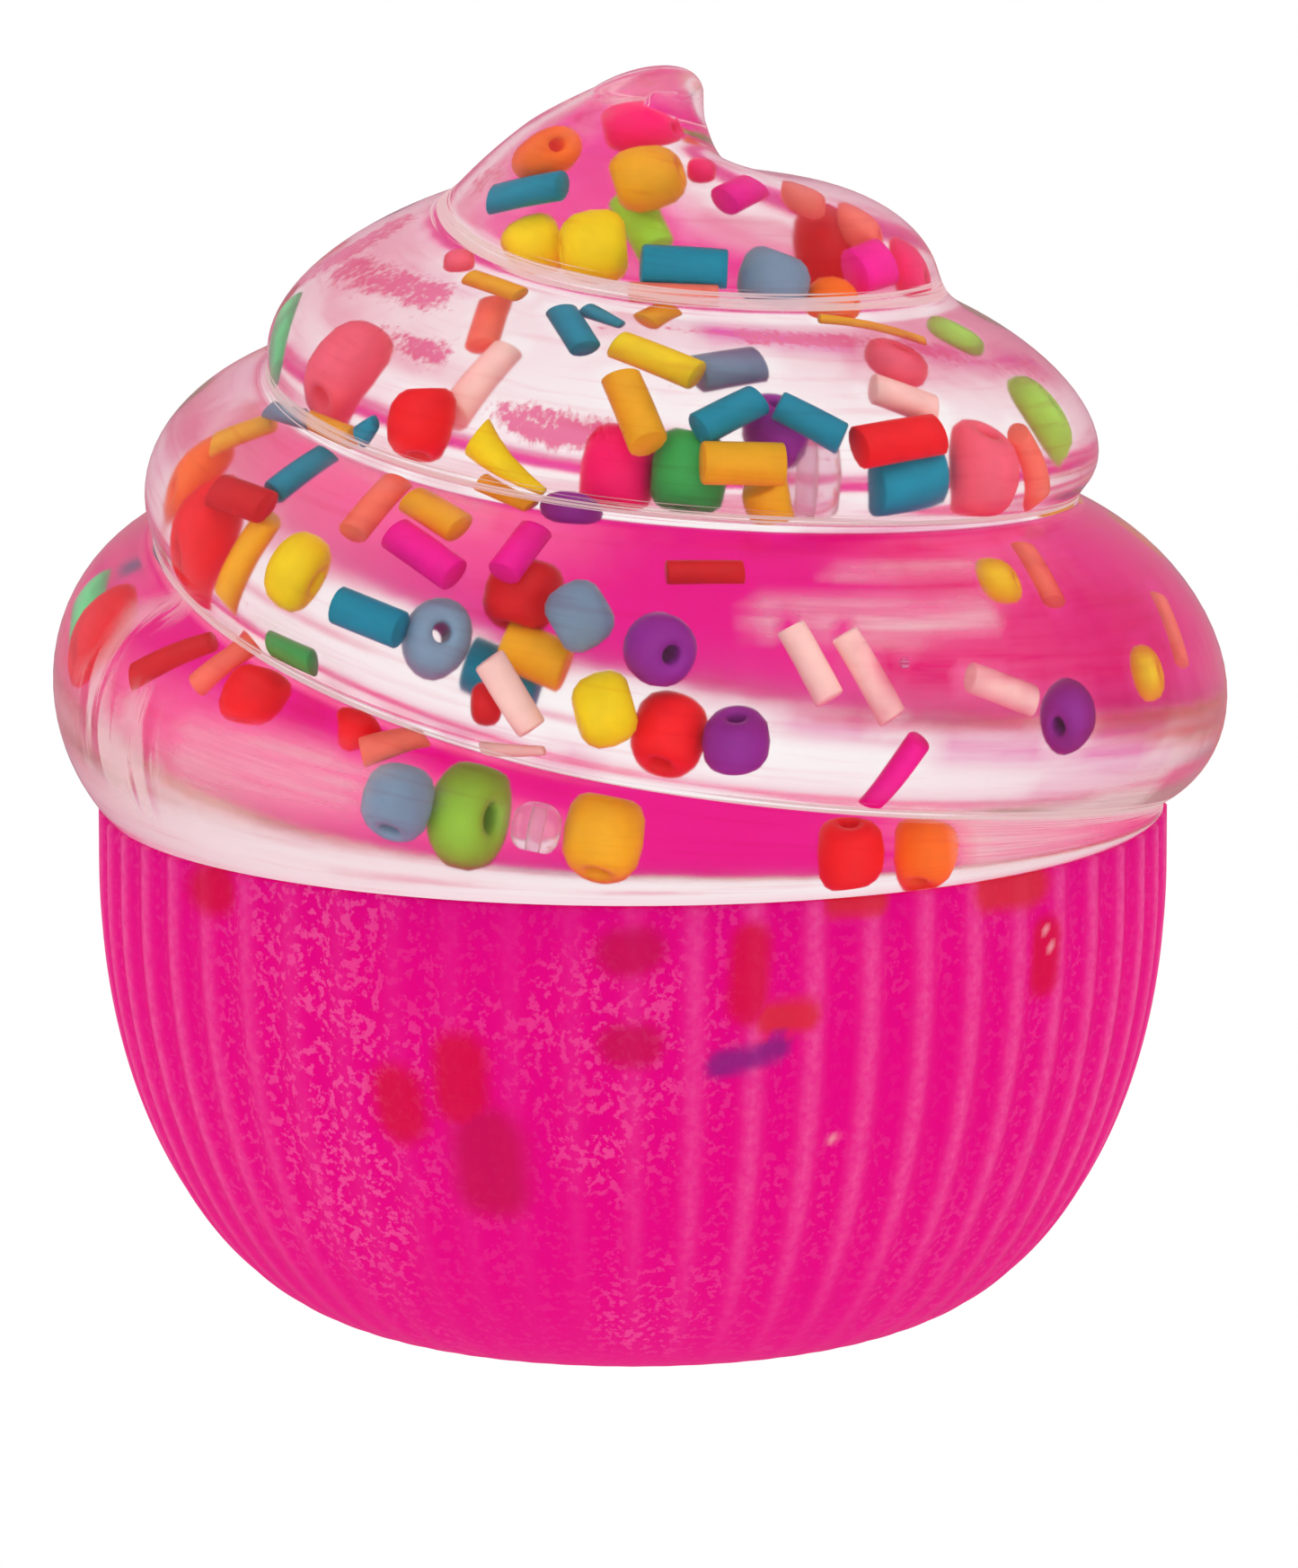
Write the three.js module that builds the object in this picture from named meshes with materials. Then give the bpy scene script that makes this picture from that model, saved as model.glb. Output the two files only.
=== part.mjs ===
// A squeezable toy cupcake of clear soft plastic: a pink fluted cup, and a clear piped swirl on top of it
// whose gel fills the cup. Millimetres, +Z up. The origin is the middle of the flat base, and -Y faces the
// viewer.

import * as THREE from 'three';

// The cup: a flat foot, a wall that bellies out as a quarter of an ellipse, and a plain rim above it. The gel
// that fills it stands clear of the wall all round
const footRadius = 15;
const bellyRadius = 31.7;
const bellyHeight = 27;
const rimHeight = 30.6;
const wallThickness = 1.5;
const gelClearance = 0.3;
const fluteCount = 56;
const fluteDepth = 0.4;
const pointsPerFlute = 4;
const wallRows = 9;

// The groove between the coils, at each quarter turn: it starts on the rim at the right, comes round the
// front to the left and the back, and climbs to the tip
const grooveRadius = [31.4, 30.9, 27.7, 28.0, 25.7, 25.6, 21.0, 20.5, 18.1, 14.7, 11.1, 7.5, 4.6, 3.3];
const grooveHeight = [30.6, 37.4, 47.2, 47.6, 49.0, 52.2, 57.0, 58.4, 60.9, 62.9, 66.7, 67.8, 68.4, 73.2];

// How far the coil bulges from the straight line between its two grooves, as a share of that line, and how
// far the bulge sags towards the lower groove, as a share of the bulge. Both are given at each half turn. A
// bulge whose arc has less than the least half angle, in radians, is drawn straight
const coilBulge = [0.28, 0.28, 0.31, 0.27, 0.26, 0.18, 0.19, 0.04, 0.08, 0];
const coilSag = [-0.1, -0.1, 0.3, 0.4, 0.8, 0.95, 0.6, 0.8, -0.1, 0];
const leastHalfAngle = 1e-4;

// The tip: a small dome that leans to the right. It is the top of an ellipse, from this angle up
const tipHeight = 74.6;
const tipLean = 1.9;
const leanStart = 71.2;
const leanPower = 1.5;
const domeRows = 3;
const domeStart = 0.6;

const columnsPerTurn = 60;
const rowsPerCoil = 9;

const quartersPerTurn = 4;
const lastGroove = grooveRadius.length - 1;
const coilQuarters = lastGroove + quartersPerTurn;
const columnsPerQuarter = columnsPerTurn / quartersPerTurn;

// A smooth curve through values that are given at 0, 1, 2 and so on
function through(values, at) {
  const last = values.length - 1;
  const place = THREE.MathUtils.clamp(at, 0, last);
  const start = Math.min(Math.floor(place), last - 1);
  const before = start > 0 ? values[start - 1] : 2 * values[0] - values[1];
  const after = start + 2 <= last ? values[start + 2] : 2 * values[last] - values[last - 1];
  const [here, next, u] = [values[start], values[start + 1], place - start];
  const slope = next - before;
  const bend = 2 * before - 5 * here + 4 * next - after;
  const twist = 3 * here - before - 3 * next + after;
  return 0.5 * (2 * here + slope * u + bend * u ** 2 + twist * u ** 3);
}

function groove(quarter) {
  return new THREE.Vector2(through(grooveRadius, quarter), through(grooveHeight, quarter));
}

// A point at a radius and height, as many quarter turns round as given, with the tip's lean added
function turned(quarter, radius, height) {
  const angle = (-quarter * Math.PI) / 2;
  const climb = THREE.MathUtils.clamp((height - leanStart) / (tipHeight - leanStart), 0, 1);
  const lean = tipLean * climb ** leanPower;
  return new THREE.Vector3(radius * Math.cos(angle) + lean, radius * Math.sin(angle), height);
}

// A point on the coil whose upper groove is at this quarter turn: share 0 is its lower groove and 1 its upper
function coilPoint(quarter, share) {
  const low = groove(Math.max(quarter - quartersPerTurn, 0));
  const high = groove(Math.min(quarter, lastGroove));
  const line = high.clone().sub(low);
  const bulge = through(coilBulge, quarter / 2);
  const sag = through(coilSag, quarter / 2);
  const halfAngle = 2 * Math.atan(2 * bulge);
  let along = share;
  let out = 0;
  if (halfAngle > leastHalfAngle) {
    const arcRadius = 0.5 / Math.sin(halfAngle);
    const angle = halfAngle * (2 * share - 1);
    out = arcRadius * (Math.cos(angle) - Math.cos(halfAngle));
    along = 0.5 + arcRadius * Math.sin(angle) - sag * out;
  }
  const radius = low.x + line.x * along + line.y * out;
  const height = low.y + line.y * along - line.x * out;
  return turned(quarter, radius, height);
}

class Skin {
  constructor() {
    this.points = [];
    this.faces = [];
  }

  point(vector) {
    this.points.push(vector.x, vector.y, vector.z);
    return this.points.length / 3 - 1;
  }

  // Leaves out a triangle that has shrunk to a line, as where the coil starts and ends
  triangle(a, b, c) {
    if (a !== b && b !== c && c !== a) this.faces.push(a, b, c);
  }

  // Joins two columns of points, each listed upwards. Seen from the side that shows, the second stands to the
  // left of the first
  strip(right, left) {
    for (let row = 0; row < right.length - 1; row++) {
      this.triangle(left[row], right[row], right[row + 1]);
      this.triangle(left[row], right[row + 1], left[row + 1]);
    }
  }

  // Joins a ring of points to one point, facing the side from which the ring runs anticlockwise
  fan(ring, centre) {
    ring.forEach((point, i) => this.triangle(centre, point, ring[(i + 1) % ring.length]));
  }

  // Joins two level rings, one round the other, facing up. Both run anticlockwise from the same side
  annulus(outer, inner) {
    let [i, j] = [0, 0];
    while (i < outer.length || j < inner.length) {
      const [a, b] = [outer[i % outer.length], inner[j % inner.length]];
      if (i / outer.length <= j / inner.length) {
        i += 1;
        this.triangle(b, a, outer[i % outer.length]);
      } else {
        j += 1;
        this.triangle(b, a, inner[j % inner.length]);
      }
    }
  }

  mesh(name, colour, roughness) {
    const geometry = new THREE.BufferGeometry();
    geometry.setAttribute('position', new THREE.Float32BufferAttribute(this.points, 3));
    geometry.setIndex(this.faces);
    geometry.computeVertexNormals();
    const material = new THREE.MeshStandardMaterial({ color: colour, roughness, metalness: 0 });
    const mesh = new THREE.Mesh(geometry, material);
    mesh.name = name;
    return mesh;
  }
}

// The wall's radius at the crests of the flutes, from a quarter turn of the ellipse's own angle. The inset is
// how far in from the outside it is taken, at the side and at the floor alike
function wallPoint(row, inset) {
  const belly = bellyRadius - inset;
  if (row === wallRows) return new THREE.Vector2(belly, rimHeight);
  const angle = ((1 - row / (wallRows - 1)) * Math.PI) / 2;
  const radius = footRadius + (belly - footRadius) * Math.cos(angle);
  return new THREE.Vector2(radius, bellyHeight - (bellyHeight - inset) * Math.sin(angle));
}

// Soft waves round the outside of the wall, as in a pleated paper case. The crest is at the start of each
// flute
function fluteInset(column) {
  return (fluteDepth / 2) * (1 - Math.cos((2 * Math.PI * column) / pointsPerFlute));
}

// Columns of points up the wall, anticlockwise seen from above
function wallColumns(skin, columnCount, inset, isFluted) {
  const columns = [];
  for (let column = 0; column < columnCount; column++) {
    const angle = (2 * Math.PI * column) / columnCount;
    const points = [];
    for (let row = 0; row <= wallRows; row++) {
      const wall = wallPoint(row, inset);
      const growth = (wall.x - footRadius) / (bellyRadius - footRadius);
      const radius = wall.x - (isFluted ? growth * fluteInset(column) : 0);
      const place = new THREE.Vector3(radius * Math.cos(angle), radius * Math.sin(angle), wall.y);
      points.push(skin.point(place));
    }
    columns.push(points);
  }
  return columns;
}

function cup() {
  const skin = new Skin();
  const outside = wallColumns(skin, fluteCount * pointsPerFlute, 0, true);
  const inside = wallColumns(skin, columnsPerTurn, wallThickness, false);
  outside.forEach((column, i) => skin.strip(outside[(i + 1) % outside.length], column));
  inside.forEach((column, i) => skin.strip(column, inside[(i + 1) % inside.length]));
  skin.annulus(outside.map((column) => column[wallRows]), inside.map((column) => column[wallRows]));
  skin.fan(outside.map((column) => column[0]).reverse(), skin.point(new THREE.Vector3(0, 0, 0)));
  skin.fan(inside.map((column) => column[0]), skin.point(new THREE.Vector3(0, 0, wallThickness)));
  return skin.mesh('cup', '#e6007e', 0.35);
}

function swirl() {
  const skin = new Skin();
  const columnCount = coilQuarters * columnsPerQuarter;
  const firstRingColumn = lastGroove * columnsPerQuarter;
  const columns = [];
  for (let column = 0; column <= columnCount; column++) {
    const quarter = column / columnsPerQuarter;
    const lower = columns[column - columnsPerTurn];
    const points = [lower ? lower[rowsPerCoil] : skin.point(coilPoint(quarter, 0))];
    for (let row = 1; row <= rowsPerCoil; row++) {
      const shrunk = column === 0 || column === columnCount;
      points.push(shrunk ? points[0] : skin.point(coilPoint(quarter, row / rowsPerCoil)));
    }
    columns.push(points);
  }
  for (let column = 0; column < columnCount; column++) skin.strip(columns[column], columns[column + 1]);

  // The gel in the cup hangs from the foot of the first turn, which runs clockwise
  const foot = columns.slice(0, columnsPerTurn).map((column) => column[0]);
  const gelInset = wallThickness + gelClearance;
  const gel = wallColumns(skin, columnsPerTurn, gelInset, false);
  gel.forEach((column, i) => column.push(foot[(columnsPerTurn - i) % columnsPerTurn]));
  gel.forEach((column, i) => skin.strip(gel[(i + 1) % columnsPerTurn], column));
  skin.fan(gel.map((column) => column[0]).reverse(), skin.point(new THREE.Vector3(0, 0, gelInset)));

  // The dome closes the ring on which the last groove ends
  let ring = columns.slice(firstRingColumn, columnCount).map((column) => column[rowsPerCoil]);
  const ringRadius = grooveRadius[lastGroove];
  const ringHeight = grooveHeight[lastGroove];
  for (let row = 1; row < domeRows; row++) {
    const angle = THREE.MathUtils.lerp(domeStart, Math.PI / 2, row / domeRows);
    const climb = (Math.sin(angle) - Math.sin(domeStart)) / (1 - Math.sin(domeStart));
    const height = THREE.MathUtils.lerp(ringHeight, tipHeight, climb);
    const radius = (ringRadius * Math.cos(angle)) / Math.cos(domeStart);
    const next = ring.map((_, i) => {
      return skin.point(turned((firstRingColumn + i) / columnsPerQuarter, radius, height));
    });
    ring.forEach((point, i) => {
      const j = (i + 1) % ring.length;
      skin.strip([point, next[i]], [ring[j], next[j]]);
    });
    ring = next;
  }
  skin.fan(ring.reverse(), skin.point(turned(0, 0, tipHeight)));
  return skin.mesh('swirl', '#f3a6cf', 0.08);
}

const cupcake = new THREE.Group();
cupcake.add(cup());
cupcake.add(swirl());
export default cupcake;
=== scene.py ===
# A squeezable toy cupcake: a clear piped swirl of soft plastic, filled with clear gel, beads and short
# rods, on a pink fluted cup that lets light through. Metres, +Z up, and -Y faces the viewer.
import math
import random

import bpy
import numpy as np
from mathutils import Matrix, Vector
from mathutils.bvhtree import BVHTree


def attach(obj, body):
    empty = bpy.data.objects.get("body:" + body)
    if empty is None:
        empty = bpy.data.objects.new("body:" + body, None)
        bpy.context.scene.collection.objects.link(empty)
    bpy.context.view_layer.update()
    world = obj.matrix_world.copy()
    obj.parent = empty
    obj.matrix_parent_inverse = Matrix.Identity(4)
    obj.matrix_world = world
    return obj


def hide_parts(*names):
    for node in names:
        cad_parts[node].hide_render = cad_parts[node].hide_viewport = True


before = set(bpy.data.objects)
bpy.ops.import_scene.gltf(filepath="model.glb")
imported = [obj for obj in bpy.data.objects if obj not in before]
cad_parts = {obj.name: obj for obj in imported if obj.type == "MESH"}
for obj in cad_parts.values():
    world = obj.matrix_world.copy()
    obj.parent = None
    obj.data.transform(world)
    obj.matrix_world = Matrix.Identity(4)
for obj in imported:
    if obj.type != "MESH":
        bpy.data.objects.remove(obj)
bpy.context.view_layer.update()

MM = 0.001

# The cup, as in the CAD
FOOT_RADIUS = 15.0
BELLY_RADIUS = 31.7
BELLY_HEIGHT = 27.0
RIM_HEIGHT = 30.6
FLUTES = 56
FLUTE_DEPTH = 0.4
WALL_THICKNESS = 1.5
RIM_ROUNDING = 0.2

# The groove between the coils at each quarter turn, from the rim at the right to the tip, as in the CAD.
# How far the coil bulges, and how far the bulge sags, are given at each half turn
GROOVE_RADIUS = [31.4, 30.9, 27.7, 28.0, 25.7, 25.6, 21.0, 20.5, 18.1, 14.7, 11.1, 7.5, 4.6, 3.3]
GROOVE_HEIGHT = [30.6, 37.4, 47.2, 47.6, 49.0, 52.2, 57.0, 58.4, 60.9, 62.9, 66.7, 67.8, 68.4, 73.2]
COIL_BULGE = [0.28, 0.28, 0.31, 0.27, 0.26, 0.18, 0.19, 0.04, 0.08, 0]
COIL_SAG = [-0.1, -0.1, 0.3, 0.4, 0.8, 0.95, 0.6, 0.8, -0.1, 0]
QUARTERS_PER_TURN = 4
LAST_GROOVE = len(GROOVE_RADIUS) - 1

# A bulge of less than this angle, in radians, is drawn straight, and a coil of less than this width is left
# as it is
LEAST = 1e-4

# The tip: a small dome that leans to the right. It is the top of an ellipse, from this angle up
TIP_HEIGHT = 74.6
TIP_LEAN = 1.9
LEAN_START = 71.2
LEAN_POWER = 1.5
DOME_START = 0.6

# The grooves are rounded out over this width. It grows near the tip, from one quarter turn to the other,
# and is never more than a share of the coil. Which way a groove opens is found a little way up and down the
# coils beside it
GROOVE_WIDTH = 1.5
TIP_GROOVE_WIDTH = 3.5
GROOVE_WIDENS = (11.0, 12.6)
GROOVE_SHARE_OF_COIL = 0.25
GROOVE_PROBE = 0.02

# The pale band in a groove is a painted highlight. How far it reaches over the coil above it and over the
# coil below it, and how strong it is
GROOVE_HIGHLIGHT_ABOVE = 2.0
GROOVE_HIGHLIGHT_BELOW = 1.0
GROOVE_HIGHLIGHT_STRENGTH = 1.3

# The gel fills the cup and ends inside the thickness of its wall, so that no gap shows between the two
GEL_IN_WALL = 1.1

# About how long a quarter turn of the lower coils is, and how far a coil is across, for patterns that
# follow it
QUARTER_LENGTH = 45.0
COIL_WIDTH = 22.0

# How finely the surfaces are divided
COLUMNS_PER_QUARTER = 45
ROWS_PER_COIL = 36
DOME_ROWS = 12
GEL_CUP_ROWS = 16
POINTS_PER_FLUTE = 10
CUP_ROWS = 80
RIM_ROWS = 8
CUP_ROWS_INSIDE = 24

# The photograph's frame and where the camera stood
PHOTO_WIDTH = 1445
PHOTO_HEIGHT = 1746
PIXELS_PER_MM = 18.79
CAMERA_DISTANCE = 800.0
CAMERA_ELEVATION = math.radians(10.5)
SENSOR = 36.0
LOOKED_AT = Vector((0, 0, 37.0))
LOOKED_AT_PIXEL = (704.5, 774.4)

# Clear rubber and gel bend light alike. Light that they mirror is held back, and what lies inside them gets
# more
GEL_IOR = 1.42
MIRRORED_LIGHT = "c49aa6"
LAMP_LIGHT = 1.75

# The pixels between which the swirl shows and how close together they are followed into it, how many
# straight runs of each sight line count, and how many of them a hidden bead or rod may cross
SWIRL_COLUMNS = (60, 1366)
SWIRL_ROWS = (80, 1010)
SIGHT_STEP = 20
SIGHT_RUNS = 3
SIGHT_LINES_ALLOWED = 0

# A ray goes on this far from the skin that has mirrored it, and gets out after this many runs at the latest
STEP_OFF = 0.02
LEAVING_RUNS = 4

random.seed(7)


def through(values, at):
    """A smooth curve through values that are given at 0, 1, 2 and so on."""
    last = len(values) - 1
    place = min(max(at, 0), last)
    start = min(int(place), last - 1)
    before = values[start - 1] if start > 0 else 2 * values[0] - values[1]
    after = values[start + 2] if start + 2 <= last else 2 * values[last] - values[last - 1]
    here, following, u = values[start], values[start + 1], place - start
    slope = following - before
    bend = 2 * before - 5 * here + 4 * following - after
    twist = 3 * here - before - 3 * following + after
    return 0.5 * (2 * here + slope * u + bend * u**2 + twist * u**3)


def turned(quarter, radius, height):
    """A point at a radius and height, as many quarter turns round as given, with the tip's lean added."""
    angle = -quarter * math.pi / 2
    climb = min(max((height - LEAN_START) / (TIP_HEIGHT - LEAN_START), 0), 1)
    return Vector((radius * math.cos(angle) + TIP_LEAN * climb**LEAN_POWER, radius * math.sin(angle), height))


def coil_point(quarter, share):
    """A point on the coil whose upper groove is at this quarter turn: share 0 is its lower groove, 1 its
    upper."""
    low, high = max(quarter - QUARTERS_PER_TURN, 0), min(quarter, LAST_GROOVE)
    low_radius, low_height = through(GROOVE_RADIUS, low), through(GROOVE_HEIGHT, low)
    across = through(GROOVE_RADIUS, high) - low_radius
    up = through(GROOVE_HEIGHT, high) - low_height
    half_angle = 2 * math.atan(2 * through(COIL_BULGE, quarter / 2))
    along, out = share, 0
    if half_angle > LEAST:
        arc_radius = 0.5 / math.sin(half_angle)
        angle = half_angle * (2 * share - 1)
        out = arc_radius * (math.cos(angle) - math.cos(half_angle))
        along = 0.5 + arc_radius * math.sin(angle) - through(COIL_SAG, quarter / 2) * out
    return turned(quarter, low_radius + across * along + up * out, low_height + up * along - across * out)


def rounding(quarter):
    """How the groove at a quarter turn is rounded out: where it is, which way it is filled and how far, how
    wide, and how much of the pale band, a painted highlight, is in it."""
    here = coil_point(quarter, 1)
    above = coil_point(quarter + QUARTERS_PER_TURN, GROOVE_PROBE) - here
    below = coil_point(quarter, 1 - GROOVE_PROBE) - here
    if quarter >= LAST_GROOVE or min(above.length, below.length) < LEAST:
        return here, Vector((0, 0, 0)), 1.0, 0.0
    way = above.normalized() + below.normalized()
    start, end = GROOVE_WIDENS
    share = min(max((quarter - start) / (end - start), 0), 1)
    width = GROOVE_WIDTH + (TIP_GROOVE_WIDTH - GROOVE_WIDTH) * share
    width = min(width, GROOVE_SHARE_OF_COIL * (coil_point(quarter, 0) - here).length)
    return here, way * (width / 4), width, 1 - share


def rounded(point, groove):
    """A point on a coil, moved out where it lies near a groove."""
    here, fill, width, _ = groove
    return point + fill * max(0, 1 - (point - here).length / width) ** 2


def groove_highlight_depth(point, groove, reach):
    """How deep in the pale band of a groove, a painted highlight, a point lies, from 0 outside it to over 1
    in the groove.
    """
    here, _, _, band = groove
    return GROOVE_HIGHLIGHT_STRENGTH * band * max(0, 1 - (point - here).length / reach)


class Skin:
    """Collects points in millimetres and faces, and makes the piece from them."""

    def __init__(self):
        self.points = []
        self.lays = []
        self.faces = []
        self.finish = 0
        self.finishes = []

    def point(self, place, lay=(0.0, 0.0, 0.0)):
        """Adds a point. Its lay says how far round and up the coil it is, and how deep in the groove's
        painted highlight.
        """
        self.points.append(Vector(place))
        self.lays.append(lay)
        return len(self.points) - 1

    def face(self, *corners):
        kept = [c for i, c in enumerate(corners) if c != corners[i - 1]]
        if len(kept) > 2:
            self.faces.append(kept)
            self.finishes.append(self.finish)

    def strip(self, right, left):
        """Joins two columns, each listed upwards, the second to the left of the first seen from outside."""
        for row in range(len(right) - 1):
            self.face(left[row], right[row], right[row + 1], left[row + 1])

    def ring_to_ring(self, low, high):
        """Joins two rings that run anticlockwise seen from above, facing outwards."""
        for i, corner in enumerate(low):
            j = (i + 1) % len(low)
            self.face(corner, low[j], high[j], high[i])

    def fan(self, ring, centre):
        for i, corner in enumerate(ring):
            self.face(centre, corner, ring[(i + 1) % len(ring)])

    def piece(self, name, *materials):
        mesh = bpy.data.meshes.new(name)
        mesh.from_pydata([p * MM for p in self.points], [], self.faces)
        for material in materials:
            mesh.materials.append(material)
        mesh.polygons.foreach_set("material_index", self.finishes)
        mesh.shade_smooth()
        mesh.update()
        made = bpy.data.objects.new(name, mesh)
        bpy.context.scene.collection.objects.link(made)
        return made


def linear(hex_colour):
    """An sRGB hex colour as linear red, green, blue and alpha."""
    parts = [int(hex_colour[i : i + 2], 16) / 255 for i in (0, 2, 4)]
    return (*(p / 12.92 if p <= 0.04045 else ((p + 0.055) / 1.055) ** 2.4 for p in parts), 1.0)


def add(tree, kind, inputs=None, **settings):
    """Adds a node with its settings. An input is a value, or (node, output) to link."""
    made = tree.nodes.new(kind)
    for key, value in settings.items():
        setattr(made, key, value)
    for key, value in (inputs or {}).items():
        if isinstance(value, tuple) and isinstance(value[0], bpy.types.Node):
            tree.links.new(value[0].outputs[value[1]], made.inputs[key])
        else:
            made.inputs[key].default_value = value
    return made


def new_material(name):
    material = bpy.data.materials.new(name)
    material.use_nodes = True
    material.node_tree.nodes.clear()
    return material, material.node_tree


def per_metre(size):
    """The scale of a pattern whose grains are this many millimetres apart."""
    return 1 / (size * MM)


def along_coil(length, width):
    """The scale of a pattern that follows the coil, with streaks this long and wide in millimetres."""
    return (QUARTER_LENGTH / length, COIL_WIDTH / width, 0.0)


def skin_colour(tree, place, strands, creases, marks):
    """The tint of the clear rubber. It is pinker where it is seen edge on, washed with painted pink along the
    coil that stands in for the pink cup seen through the gel, pinker in creases, and has ragged smears and
    faint strands."""
    edge = add(tree, "ShaderNodeLayerWeight", {"Blend": 0.35})
    away = add(tree, "ShaderNodeAttribute", attribute_name="away")
    grazed = add(tree, "ShaderNodeMath", {0: (edge, "Facing"), 1: (away, "Fac")}, operation="MULTIPLY")
    rim = add(
        tree,
        "ShaderNodeMix",
        {0: (grazed, 0), 6: linear("fefafa"), 7: linear("e67a9c")},
        data_type="RGBA",
    )
    evener = add(
        tree,
        "ShaderNodeMapRange",
        {"Value": (strands, 0), "From Min": 0.35, "From Max": 0.65, "To Min": 0.75, "To Max": 1.15},
    )
    # Painted pink: the washes stand in for the pink cup seen through the gel
    painted_pink_wash = add(tree, "ShaderNodeMath", {0: (marks, "Z"), 1: (evener, 0)}, operation="MULTIPLY")
    pinker = add(tree, "ShaderNodeMath", {0: (painted_pink_wash, 0), 1: (creases, 0)}, operation="MAXIMUM")
    washed = add(
        tree,
        "ShaderNodeMix",
        {0: (pinker, 0), 6: (rim, 2), 7: linear("dc1c90")},
        data_type="RGBA",
    )

    # Smears end in wisps that lie level, and in fine hairs that stand upright
    level = add(tree, "ShaderNodeMapping", {"Vector": (place, "Object"), "Scale": (1.0, 1.0, 3.0)})
    wisps = add(
        tree,
        "ShaderNodeTexNoise",
        {"Vector": (level, 0), "Scale": per_metre(3.85), "Detail": 5.0, "Roughness": 0.65},
    )
    upright = add(tree, "ShaderNodeMapping", {"Vector": (place, "Object"), "Scale": (1.0, 1.0, 0.2)})
    hairs = add(
        tree, "ShaderNodeTexNoise", {"Vector": (upright, 0), "Scale": per_metre(0.385), "Detail": 3.0}
    )
    ragged = add(tree, "ShaderNodeMath", {0: (wisps, 0), 1: (hairs, 0)}, operation="ADD")
    spread = add(
        tree,
        "ShaderNodeMath",
        {0: (ragged, 0), 1: 1.5, 2: (marks, "X")},
        operation="MULTIPLY_ADD",
    )
    smeared = add(
        tree,
        "ShaderNodeMapRange",
        {"Value": (spread, 0), "From Min": 1.85, "From Max": 2.5},
        interpolation_type="SMOOTHSTEP",
    )
    streaked = add(
        tree,
        "ShaderNodeMapRange",
        {"Value": (strands, 0), "From Min": 0.52, "From Max": 0.72, "To Max": 0.3},
        interpolation_type="SMOOTHSTEP",
    )
    marked = add(tree, "ShaderNodeMath", {0: (smeared, 0), 1: (streaked, 0)}, operation="MAXIMUM")
    return add(
        tree,
        "ShaderNodeMix",
        {0: (marked, 0), 6: (washed, 2), 7: linear("dc3c6c")},
        data_type="RGBA",
    )


def skin_haze_and_painted_highlights(tree, lay, strands, ridges, marks):
    """Where the clear rubber is frosted white: fine pale lines along its grooves, which are a painted
    highlight, haze in strands, partly cloudiness and partly painted highlight, and the ridges of its folds."""
    threaded = add(
        tree, "ShaderNodeMapping", {"Vector": (lay, "Vector"), "Scale": along_coil(30.0, 0.4)}
    )
    lines = add(tree, "ShaderNodeTexNoise", {"Vector": (threaded, 0), "Scale": 1.0, "Detail": 2.0})
    depth = add(tree, "ShaderNodeSeparateXYZ", {"Vector": (lay, "Vector")})
    lined = add(
        tree, "ShaderNodeMath", {0: (lines, 0), 1: 2.0, 2: (depth, "Z")}, operation="MULTIPLY_ADD"
    )
    # Painted highlight: pale lines along each groove, fading out of the groove
    band = add(
        tree,
        "ShaderNodeMapRange",
        {"Value": (lined, 0), "From Min": 1.6, "From Max": 1.85, "To Max": 0.92},
        interpolation_type="SMOOTHSTEP",
    )
    uneven = add(
        tree,
        "ShaderNodeMapRange",
        {"Value": (strands, 0), "From Min": 0.35, "From Max": 0.65, "To Min": 0.5, "To Max": 1.3},
    )
    # The hazy strokes are partly cloudiness and partly painted highlight and reflection
    hazy_and_highlit = add(tree, "ShaderNodeMath", {0: (marks, "Y"), 1: (uneven, 0)}, operation="MULTIPLY")
    misted_and_highlit = add(tree, "ShaderNodeMath", {0: (hazy_and_highlit, 0), 1: (ridges, 0)}, operation="MAXIMUM")
    return add(tree, "ShaderNodeMath", {0: (band, 0), 1: (misted_and_highlit, 0)}, operation="MAXIMUM")


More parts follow.
